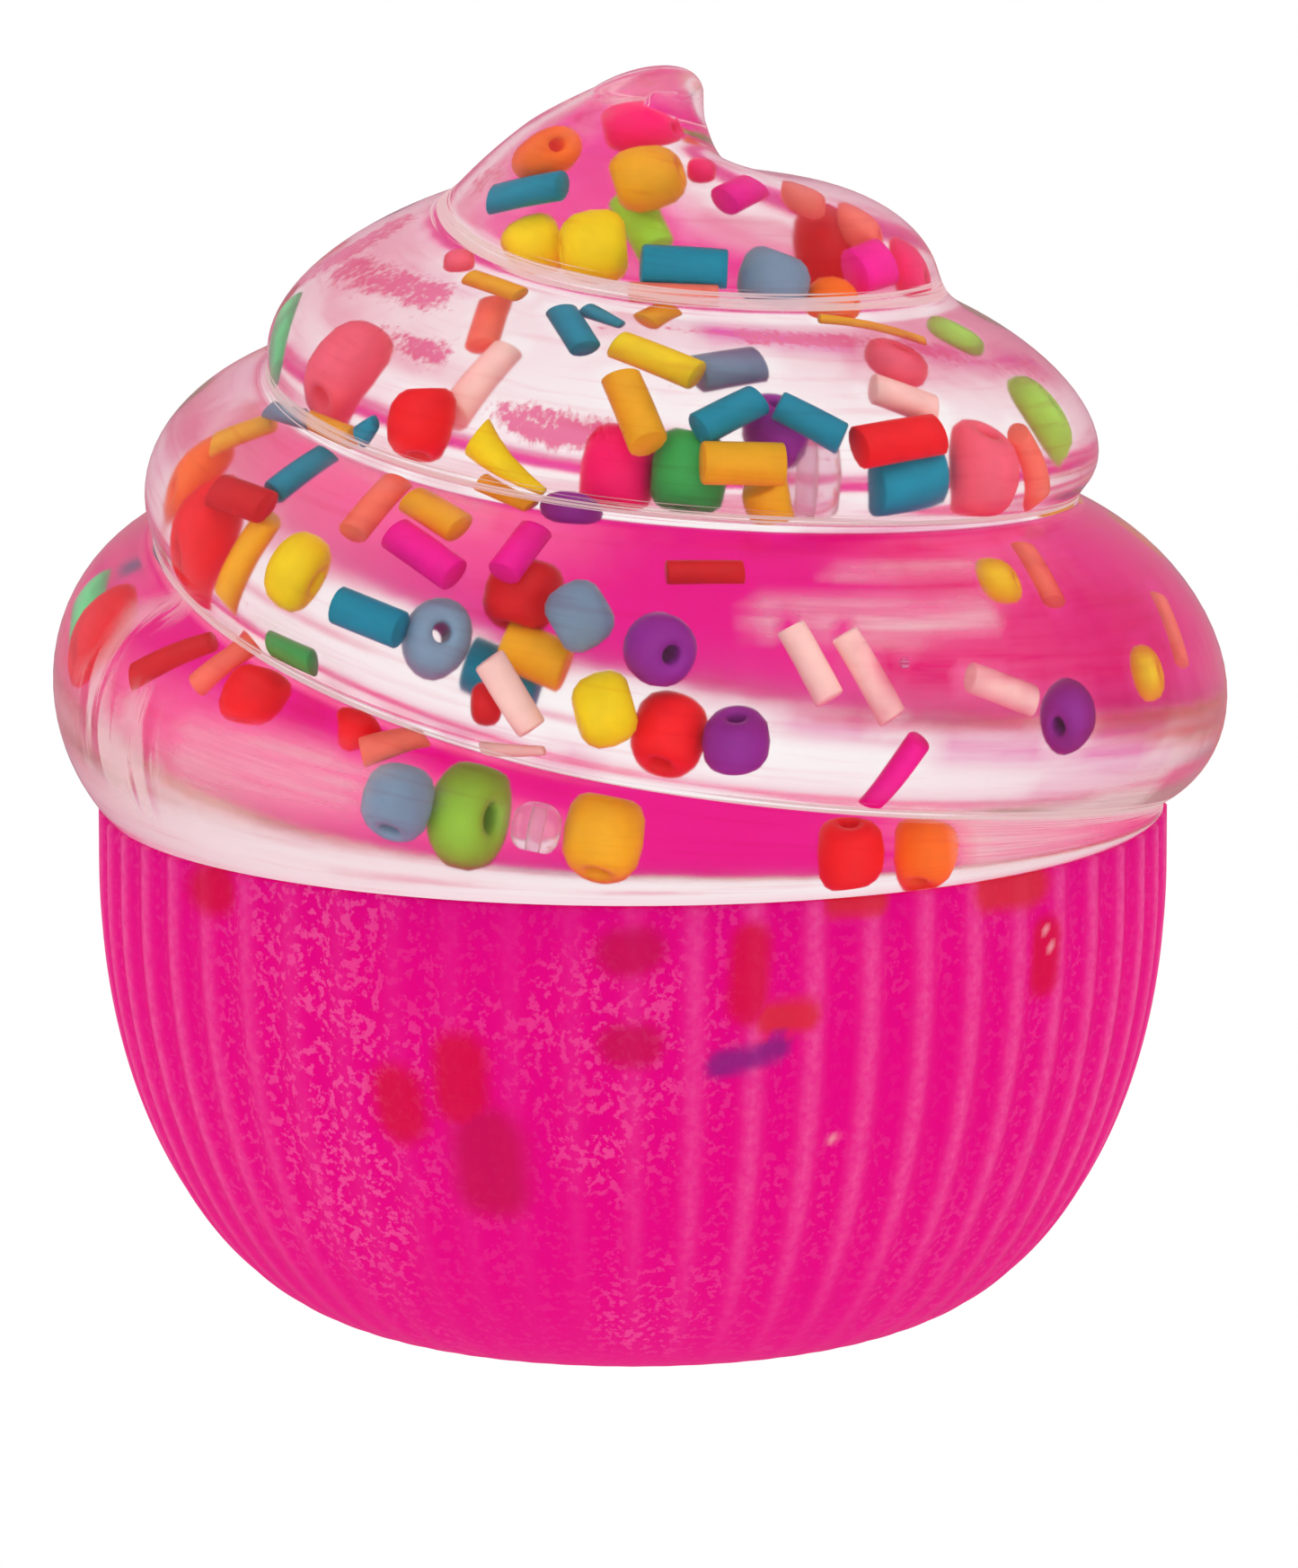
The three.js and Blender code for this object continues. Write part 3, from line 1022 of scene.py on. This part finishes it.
IN_THE_SECOND_COIL = [
    (seen_rod, "amber", (522, 308), (580, 328), 0.9, 0.0, 0.7),
    (seen_bead, "coral", (512, 290), 1.6, (1.0, 0.0, 0.0), 0.6),
    (seen_rod, "teal", (624, 345), (652, 388), 1.4, 0.0, 0.9),
    (seen_rod, "teal", (652, 344), (692, 362), 1.2, 0.0, 0.7, 0.5),
    (seen_rod, "amber", (718, 358), (746, 344), 1.2, 0.0, 0.9),
    (seen_rod, "amber", (912, 355), (1030, 380), 0.8, 0.6, 0.45),
    (seen_rod, "yellow", (686, 382), (776, 418), 1.6, 0.0, 1.1),
    (seen_rod, "slate", (776, 416), (846, 404), 2.4, 0.0, 1.25),
    (seen_rod, "amber", (690, 418), (722, 494), 1.8, 0.0, 1.1),
    (seen_rod, "teal", (778, 478), (845, 444), 1.6),
    (seen_rod, "teal", (866, 450), (938, 488), 1.6),
    (seen_bead, "purple", (864, 474), 4.2),
    (seen_rod, "red", (956, 497), (1046, 482), 1.4, 0.0, 1.15),
    (seen_rod, "teal", (976, 546), (1048, 518), 1.4, 0.0, 1.1),
    (seen_bead, "coral", (1098, 520), 2.6, (0.3, 1.0, 0.1), 1.3),
    (seen_rod, "salmon", (1133, 482), (1154, 562), 1.4),
    (seen_bead, "coral", (998, 402), 3.6, (0.4, 1.0, 0.0)),
    (seen_rod, "pale_pink", (972, 432), (1042, 458), 3.0, 0.0, 1.1),
    (seen_bead, "bright_lit_lime", (1160, 455), 2.0, (0.8, 0.5, -0.2), 1.2),
    (seen_bead, "bright_lit_lime", (1064, 372), 2.2, (0.4, 0.9, -0.4), 0.95),
    (seen_bead, "clear", (898, 520), 2.4, (0.1, 1.0, 0.2)),
    (seen_rod, "amber", (782, 514), (874, 516), 1.4, 0.0, 1.1),
    (seen_rod, "amber", (850, 535), (862, 580), 1.4, 0.0, 1.2),
    (seen_bead, "green", (768, 522), 3.2, (0.2, 1.0, -0.2), 1.1),
    (seen_bead, "hot_pink", (688, 528), 2.4, (0.2, 1.0, -0.3), 1.05),
    (seen_rod, "yellow", (530, 484), (606, 548), 1.4, -0.9, 1.1, 0.75),
    (seen_rod, "amber", (534, 538), (592, 564), 1.2, 0.0, 0.8),
    (seen_bead, "red", (468, 468), 2.6, (0.1, 1.0, -0.2), 1.1),
    (seen_rod, "pale_pink", (566, 388), (504, 464), 2.0),
    (seen_rod, "salmon", (552, 335), (536, 385), 3.2, 0.0, 0.9),
    (seen_bead, "coral", (385, 402), 3.4, (0.7, 0.7, -0.3), 1.4),
    (seen_rod, "bright_lit_green", (322, 336), (306, 420), 1.4, 0.0, 1.0),
]
IN_THE_THIRD_COIL = [
    (seen_rod, "slate", (302, 456), (342, 470), 1.4, 0.0, 0.9),
    (seen_rod, "amber", (346, 470), (392, 490), 1.2, 0.0, 0.8),
    (seen_rod, "teal", (400, 488), (418, 470), 1.2, 0.0, 0.7, 0.4),
    (seen_rod, "amber", (236, 496), (306, 470), 1.4, 0.0, 1.0),
    (seen_rod, "dark_red", (240, 545), (296, 565), 1.6),
    (seen_bead, "red", (224, 592), 3.2, (0.9, 0.3, 0.0), 1.45),
    (seen_bead, "orange", (222, 520), 3.0, (0.9, 0.3, 0.0), 1.0),
    (seen_rod, "teal", (304, 548), (366, 504), 1.6),
    (seen_rod, "amber", (298, 578), (250, 672), 1.6),
    (seen_bead, "yellow", (330, 634), 2.6, (0.8, -0.5, 0.6), 1.1),
    (seen_rod, "salmon", (444, 534), (392, 594), 1.8),
    (seen_rod, "amber", (458, 554), (512, 588), 1.8),
    (seen_rod, "magenta", (438, 592), (506, 640), 1.6),
    (seen_rod, "magenta", (598, 588), (560, 638), 1.8),
    (seen_bead, "purple", (636, 568), 1.6, (0.1, 1.0, -0.2), 0.95),
    (seen_bead, "dark_red", (583, 658), 3.0, (0.3, 1.0, -0.3), 1.15),
    (seen_bead, "slate", (645, 685), 2.4, (1.0, 0.6, 0.0), 1.05),
    (seen_rod, "teal", (374, 672), (446, 702), 1.6),
    (seen_bead, "slate", (486, 708), 2.4, (0.1, 0.2, 1.0), 1.05),
    (seen_rod, "amber", (562, 712), (630, 742), 1.6, 0.0, 1.1),
    (seen_rod, "pale_pink", (544, 734), (592, 812), 1.3, 0.0, 0.9),
    (seen_rod, "teal", (520, 738), (598, 768), 3.4),
    (seen_bead, "dark_red", (541, 784), 3.6, (1.0, 0.0, 0.0), 0.55),
    (seen_bead, "purple", (735, 722), 2.6, (0.5, -0.2, 1.0), 1.05),
    (seen_bead, "purple", (820, 826), 2.4, (0.0, 0.9, 0.6)),
    (seen_bead, "yellow", (673, 790), 2.4, (1.0, 0.3, 0.0), 1.05),
    (seen_bead, "red", (745, 816), 2.4, (0.3, 1.0, -0.3), 1.1),
    (seen_rod, "pale_pink", (880, 698), (924, 778), 1.6, 0.0, 0.85),
    (seen_rod, "pale_pink", (940, 706), (994, 800), 1.5, 0.0, 0.85),
    (seen_rod, "pale_pink", (1080, 754), (1152, 782), 1.6, 0.0, 0.85),
    (seen_rod, "dark_red", (742, 637), (828, 637), 1.6, 0.0, 0.75),
    (seen_bead, "purple", (1190, 796), 2.4, (-0.3, -0.4, 0.9)),
    (seen_rod, "magenta", (1024, 824), (966, 898), 1.6, 0.0, 0.75),
    (seen_bead, "yellow", (1112, 645), 3.0, (1.0, 0.2, 0.0), 0.8),
    (seen_rod, "salmon", (1138, 607), (1174, 670), 1.6, 0.0, 0.85),
    (seen_rod, "salmon", (1289, 662), (1316, 738), 1.4, 0.0, 0.8),
    (seen_bead, "yellow", (1278, 748), 2.0, (1.0, 0.2, 0.0), 0.8),
]
IN_THE_LOWEST_COIL = [
    (seen_bead, "red", (108, 700), 3.0, (0.9, 0.3, 0.0), 1.4),
    (seen_rod, "bright_lit_green", (92, 716), (100, 652), 1.4),
    (seen_rod, "dark_red", (146, 754), (238, 714), 1.6, 0.0, 0.85),
    (seen_rod, "salmon", (282, 716), (218, 764), 1.6, 0.0, 0.85),
    (seen_bead, "red", (286, 768), 2.4, (0.3, 1.0, -0.2), 1.1),
    (seen_rod, "green", (300, 718), (348, 740), 1.4, 0.0, 0.8),
    (seen_bead, "red", (400, 804), 3.4, (1.0, 0.2, 0.0), 0.8),
    (seen_rod, "salmon", (402, 838), (474, 820), 1.6, 0.0, 0.85),
    (seen_rod, "pale_pink", (538, 834), (606, 836), 1.6, 0.0, 0.7, 0.6),
    (seen_bead, "slate", (442, 893), 2.6, (0.3, 0.9, -0.3), 1.1),
    (seen_bead, "lime", (521, 907), 2.4, (0.7, -0.1, 0.7), 1.2),
    (seen_bead, "clear", (597, 922), 2.2, (0.2, 1.0, 0.1), 0.75),
    (seen_bead, "amber", (672, 930), 3.4, (0.2, 1.0, -0.2), 1.2),
    (seen_bead, "red", (948, 950), 2.4, (0.0, 1.0, 0.4), 1.05),
    (seen_bead, "orange", (1032, 945), 2.4, (0.2, 1.0, -0.2), 1.05),
]
SMALL_BUBBLES = [
    (seen_bead, "clear", (1007, 738), 0.6, (1.0, 0.0, 0.0), 0.18),
    (seen_bead, "clear", (948, 724), 0.4, (1.0, 0.0, 0.0), 0.16),
]
for put, *facts in (
    AT_THE_TIP + IN_THE_SECOND_COIL + IN_THE_THIRD_COIL + IN_THE_LOWEST_COIL + SMALL_BUBBLES
):
    put(*facts)


def sight_lines():
    """The straight runs of the camera's sight lines through the gel, as starts, directions and lengths."""
    lines = []
    for x in range(*SWIRL_COLUMNS, SIGHT_STEP):
        for y in range(*SWIRL_ROWS, SIGHT_STEP):
            for start, direction, length, _ in followed((x, y), SIGHT_RUNS):
                lines.append((*start, *direction, length))
    return np.array(lines)


def scatter():
    """Fills the rest of the gel near its surface, at chance places where the camera sees little of them."""
    lines = sight_lines()
    starts, directions, lengths = lines[:, :3], lines[:, 3:6], lines[:, 6]
    colours = [name for name in COLOURS if name not in NEVER_HIDDEN]
    made = 0
    for _ in range(HIDDEN_COUNT * HIDDEN_TRIES):
        if made == HIDDEN_COUNT:
            break
        quarter = random.uniform(1, LAST_GROOVE + 2)
        surface = coil_point(quarter, random.uniform(*HIDDEN_SHARES))
        inward = (Vector((0, 0, surface.z)) - surface).normalized()
        at = surface + inward * random.uniform(*HIDDEN_DEPTHS)
        is_deep = clearance(at) >= BEAD_RADIUS + GEL_OVER_HIDDEN_BEAD
        if not is_deep or not free([at], BEAD_RADIUS + HIDDEN_BEAD_GAP):
            continue
        offset = np.array(at) - starts
        along = np.clip((offset * directions).sum(1), 0, lengths)
        apart = np.linalg.norm(offset - directions * along[:, None], axis=1)
        if (apart < BEAD_RADIUS).sum() > SIGHT_LINES_ALLOWED:
            continue
        axis = Vector([random.gauss(0, 1) for _ in range(3)]).normalized()
        colour = random.choice(colours)
        if random.random() < HIDDEN_BEADS:
            bead(colour, at, axis)
            made += 1
            continue
        half = axis * ROD_LENGTH / 2
        ends = [at - half, at + half]
        is_deep = min(clearance(p) for p in ends) >= ROD_RADIUS + GEL_OVER_HIDDEN_ROD
        if not is_deep or not free(ends, ROD_RADIUS + HIDDEN_ROD_GAP):
            continue
        rod(colour, *ends, random.uniform(0, HIDDEN_BOW))
        made += 1


scatter()

clear_swirl = gel_skin.piece("clear_swirl", clear_tpr(), gel_behind_the_wall())
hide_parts("swirl")
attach(clear_swirl, "root")

fluted_cup = cup_skin.piece("fluted_cup", pink_tpr(), pink_tpr_inside())
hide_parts("cup")
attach(fluted_cup, "root")

for colour, skin in batches.items():
    plastic = clear_bead_plastic if colour == "clear" else bead_plastic
    made = skin.piece(f"beads_and_rods_{colour}", plastic(f"plastic_{colour}", COLOURS[colour]))
    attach(made, "root")


# Beads, rods and bubbles that lie against the cup's wall inside and show through it: colour, the two ends
# of each in the photograph, and its reach from the line between them in millimetres
BEHIND_THE_WALL = [
    ("red", (235, 945), (240, 990), 1.6),
    ("red", (440, 1215), (445, 1245), 1.7),
    ("red", (510, 1180), (512, 1225), 1.7),
    ("dark_red", (545, 1270), (550, 1320), 2.2),
    ("dark_red", (690, 1062), (715, 1058), 1.4),
    ("dark_red", (690, 1165), (715, 1165), 1.3),
    ("red", (838, 1050), (832, 1120), 1.2),
    ("orange", (858, 1135), (895, 1130), 1.0),
    ("purple", (800, 1186), (865, 1166), 0.8),
    ("orange", (1100, 992), (1150, 985), 1.3),
    ("red", (1165, 1040), (1160, 1090), 1.1),
    ("orange", (930, 1007), (978, 1005), 0.8),
    ("bubble", (1164, 1034), (1169, 1058), 0.3),
    ("bubble", (925, 1270), (928, 1271), 0.25),
]
STAINS = {
    "red": "e01448",
    "dark_red": "d21660",
    "orange": "e43a3c",
    "purple": "8a2c94",
    "bubble": "fcc8c8",
}

# A stain ends at so many of its reaches, rises this fast from there, and covers so much of the pink at most
STAIN_END = 1.3
STAIN_RISE = 1.6
STAIN_STRENGTH = 0.85

# The flutes' crests carry a painted highlight, sharply, at full strength from this height up. It is stronger
# on both sides of the cup, from one angle to the other, in degrees round from the front
CREST_POWER = 4
CREST_HEIGHT = 12.0
CREST_SIDES = (55.0, 75.0)
FRONT_CREST = 0.85
SIDE_CREST = 1.25

# A stretch at the front left is plain and has veins instead. It is given by its middle and its reach in
# degrees, by how abruptly it ends, by how much of the crests' painted highlight it takes away, and by how
# strong the veins are elsewhere
PLAIN_SIDE = -20.0
PLAIN_SIDE_REACH = 26.0
PLAIN_SIDE_POWER = 4
PLAIN_FADE = 0.85
VEINS_ELSEWHERE = 0.3

FIELDS = {"FLOAT": "value", "FLOAT_VECTOR": "vector", "FLOAT_COLOR": "color"}


def mark(made, name, values, kind="FLOAT"):
    """Writes one value for each point of a piece as an attribute that its material reads."""
    layers = made.data.color_attributes if kind == "FLOAT_COLOR" else made.data.attributes
    layers.new(name, kind, "POINT").data.foreach_set(FIELDS[kind], np.ravel(values))


def reach_from_line(points, start, end):
    """How far each point is from the line between two others."""
    start, end = np.array(start), np.array(end)
    run = end - start
    share = np.clip((points - start) @ run / (run @ run), 0, 1)
    return np.linalg.norm(points - start - share[:, None] * run, axis=1)


def stain_cup():
    """Colours the cup where beads lie against it inside, and paints a highlight on the crests of its flutes.
    Each point has the colour of the stain nearest to it, so that a stain fades out in its own colour."""
    points = np.array(cup_skin.points)
    stain = np.zeros((len(points), 4))
    deepest = np.full(len(points), -np.inf)
    for colour, start, end, reach in BEHIND_THE_WALL:
        ends = [cup_tree.ray_cast(EYE, sight(pixel))[0] for pixel in (start, end)]
        here = STAIN_RISE * (STAIN_END - reach_from_line(points, *ends) / reach)
        deeper = here > deepest
        deepest[deeper] = here[deeper]
        stain[deeper, :3] = linear(STAINS[colour])[:3]
    stain[:, 3] = STAIN_STRENGTH * np.clip(deepest, 0, 1)
    # Painted highlight on the crests: sharp, fading out towards the foot, stronger on both sides
    wave = 0.5 + 0.5 * np.cos(FLUTES * np.arctan2(points[:, 1], points[:, 0]))
    turn = np.degrees(np.arctan2(points[:, 0], -points[:, 1]))
    plain = np.exp(-(((turn - PLAIN_SIDE) / PLAIN_SIDE_REACH) ** PLAIN_SIDE_POWER))
    crest = (1 - PLAIN_FADE * plain) * wave**CREST_POWER * np.minimum(points[:, 2] / CREST_HEIGHT, 1)
    crest *= np.interp(np.abs(turn), CREST_SIDES, (FRONT_CREST, SIDE_CREST))
    mark(fluted_cup, "stain", stain, "FLOAT_COLOR")
    mark(fluted_cup, "crest", crest)
    mark(fluted_cup, "veined", VEINS_ELSEWHERE + (1 - VEINS_ELSEWHERE) * plain)


stain_cup()


# Strokes, by the pixels between which each is seen, its reach in millimetres and how strong it is. Pink
# smears are on the swirl's far side, where they show through the gel, and on its near side. Pink washes,
# painted in place of the pink cup seen through the gel, folds, and hazes, which are partly painted
# highlights and reflections, are on its near side. The pale places are on the cup's wall inside, where light
# falls in
FAR_SMEARS = [
    ((560, 190), (700, 110), 2.6, 0.9),
    ((600, 230), (740, 200), 2.0, 0.7),
    ((820, 210), (1000, 260), 2.0, 0.8),
    ((360, 330), (450, 290), 1.2, 0.7),
    ((960, 372), (1180, 400), 1.1, 1.0),
    ((660, 480), (740, 490), 1.0, 0.9),
    ((180, 480), (240, 420), 2.0, 1.0),
]
NEAR_SMEARS = [
    ((540, 200), (720, 95), 1.8, 0.5),
    ((390, 298), (480, 332), 1.5, 1.0),
    ((335, 310), (440, 250), 1.8, 0.95),
    ((420, 372), (490, 394), 1.0, 1.1),
    ((550, 468), (660, 486), 1.3, 1.1),
    ((660, 486), (730, 492), 0.8, 0.9),
    ((600, 352), (835, 374), 0.6, 0.7),
    ((835, 374), (1030, 388), 1.0, 1.0),
    ((1030, 388), (1150, 410), 1.2, 0.7),
    ((1150, 420), (1205, 520), 0.9, 0.6),
]
# Painted pink washes that stand in for the pink cup seen through the gel
PAINTED_PINK_WASHES = [
    ((1020, 625), (1270, 690), 2.8, 0.8),
    ((1000, 740), (1290, 755), 2.2, 0.9),
    ((190, 500), (300, 395), 2.0, 0.35),
    ((900, 800), (1060, 812), 1.2, 0.8),
    ((1040, 808), (1290, 800), 1.2, 0.8),
    ((1060, 828), (1270, 832), 1.5, 0.8),
    ((1160, 880), (1290, 850), 1.2, 0.45),
    ((800, 372), (1150, 404), 1.3, 0.9),
    ((840, 606), (1150, 590), 1.0, 0.6),
    ((760, 775), (900, 800), 1.2, 0.6),
    ((330, 790), (640, 850), 1.6, 0.5),
    ((440, 300), (560, 330), 1.0, 0.3),
    ((380, 500), (560, 575), 1.2, 0.25),
    ((1130, 700), (1300, 715), 1.8, 0.8),
]
FOLDS = [
    ((190, 676), (140, 692), 1.4, 0.6),
    ((140, 692), (104, 740), 1.6, 0.75),
    ((104, 740), (100, 810), 2.0, 0.8),
    ((100, 810), (150, 868), 2.0, 0.8),
    ((150, 790), (160, 850), 1.5, 0.6),
]
# Hazes: partly cloudiness, partly painted highlights and reflections on the near side
HAZES_AND_HIGHLIGHTS = [
    ((860, 688), (1010, 692), 1.35, 0.6),
    ((1010, 692), (1095, 682), 1.1, 0.6),
    ((930, 638), (1080, 630), 0.6, 0.4),
    ((215, 838), (430, 876), 1.9, 0.42),
    ((430, 876), (620, 925), 0.8, 0.25),
    ((1090, 935), (1270, 885), 1.8, 0.7),
    ((640, 108), (770, 92), 1.5, 0.32),
    ((545, 200), (690, 125), 1.2, 0.2),
    ((390, 510), (520, 570), 1.6, 0.25),
    ((300, 700), (380, 760), 1.2, 0.25),
]
PALE_PLACES = [
    ((150, 810), (440, 890), 4.5, 1.0),
    ((230, 700), (330, 760), 3.0, 0.6),
    ((1100, 930), (1260, 900), 3.0, 1.0),
    ((620, 110), (770, 95), 3.0, 0.8),
]

# A stroke is drawn as dots, so many pixels apart, that end at so many of their reaches. The skin is wiped
# clean over beads and rods as far as so many of theirs
STROKE_STEP = 12
STROKE_END = 1.5
WIPED_REACH = 0.6


def leaving(pixel):
    """Where the sight line through a pixel leaves the gel, if it meets it."""
    ends = [end for _, _, _, end in followed(pixel, LEAVING_RUNS)]
    return ends[-1] if ends else None


def leaving_behind(pixel):
    """The same, but only where that is on the toy's far half."""
    hit = leaving(pixel)
    return hit if hit is not None and hit.y > 0 else None


def drawn(points, strokes, place):
    """How strongly each point is marked by strokes, given the function that finds a pixel's place."""
    marked = np.zeros(len(points))
    for start, end, reach, strength in strokes:
        count = max(2, round(math.dist(start, end) / STROKE_STEP))
        for i in range(count + 1):
            spot = place([a + (b - a) * i / count for a, b in zip(start, end)])
            if spot is None:
                continue
            distance = np.linalg.norm(points - np.array(spot), axis=1)
            marked = np.maximum(marked, strength * np.clip(STROKE_END - distance / reach, 0, 1))
    return marked


def away_from_windows(points):
    """0 over the beads and rods that show, where the skin is wiped clean, and 1 away from them."""
    away = np.ones(len(points))
    for place, reach in windows:
        distance = np.linalg.norm(points - np.array(place), axis=1)
        away = np.minimum(away, np.clip(distance / reach - WIPED_REACH, 0, 1))
    return away


swirl_points = np.array(gel_skin.points)
away = away_from_windows(swirl_points)
near = away * drawn(swirl_points, NEAR_SMEARS, entering)
blush = np.maximum(drawn(swirl_points, FAR_SMEARS, leaving_behind), near)
# The hazes are partly painted highlights, and the washes are painted pink for the pink cup seen through the
# gel
haze_and_highlight, painted_pink_wash = [away * drawn(swirl_points, strokes, entering) for strokes in (HAZES_AND_HIGHLIGHTS, PAINTED_PINK_WASHES)]
mark(clear_swirl, "marks", np.stack([blush, haze_and_highlight, painted_pink_wash], axis=1), "FLOAT_VECTOR")
mark(clear_swirl, "folds", away * drawn(swirl_points, FOLDS, entering))
mark(clear_swirl, "away", away)
mark(clear_swirl, "lay", gel_skin.lays, "FLOAT_VECTOR")
mark(fluted_cup, "pale", drawn(np.array(cup_skin.points), PALE_PLACES, leaving))


# How far the floor reaches from the middle each way
FLOOR_REACH = 3000.0


def make_stage():
    """A white floor in a white tent of light."""
    skin = Skin()
    corners = [(-1, -1, 0), (1, -1, 0), (1, 1, 0), (-1, 1, 0)]
    skin.face(*[skin.point(Vector(corner) * FLOOR_REACH) for corner in corners])
    floor = skin.piece("floor", floor_white())

    world = bpy.data.worlds.new("white_tent")
    bpy.context.scene.world = world
    world.use_nodes = True
    tree = world.node_tree
    tree.nodes.clear()
    add(tree, "ShaderNodeOutputWorld", {"Surface": (tent_light(tree, "ShaderNodeBackground"), 0)})
    world.cycles.sampling_method = "NONE"


make_stage()

# A sight line crosses many clear surfaces, so that light is followed through more of them than usual
scene = bpy.context.scene
scene.view_settings.view_transform = "Standard"
scene.cycles.max_bounces = 48
scene.cycles.transmission_bounces = 32
scene.cycles.diffuse_bounces = 16
scene.cycles.glossy_bounces = 32
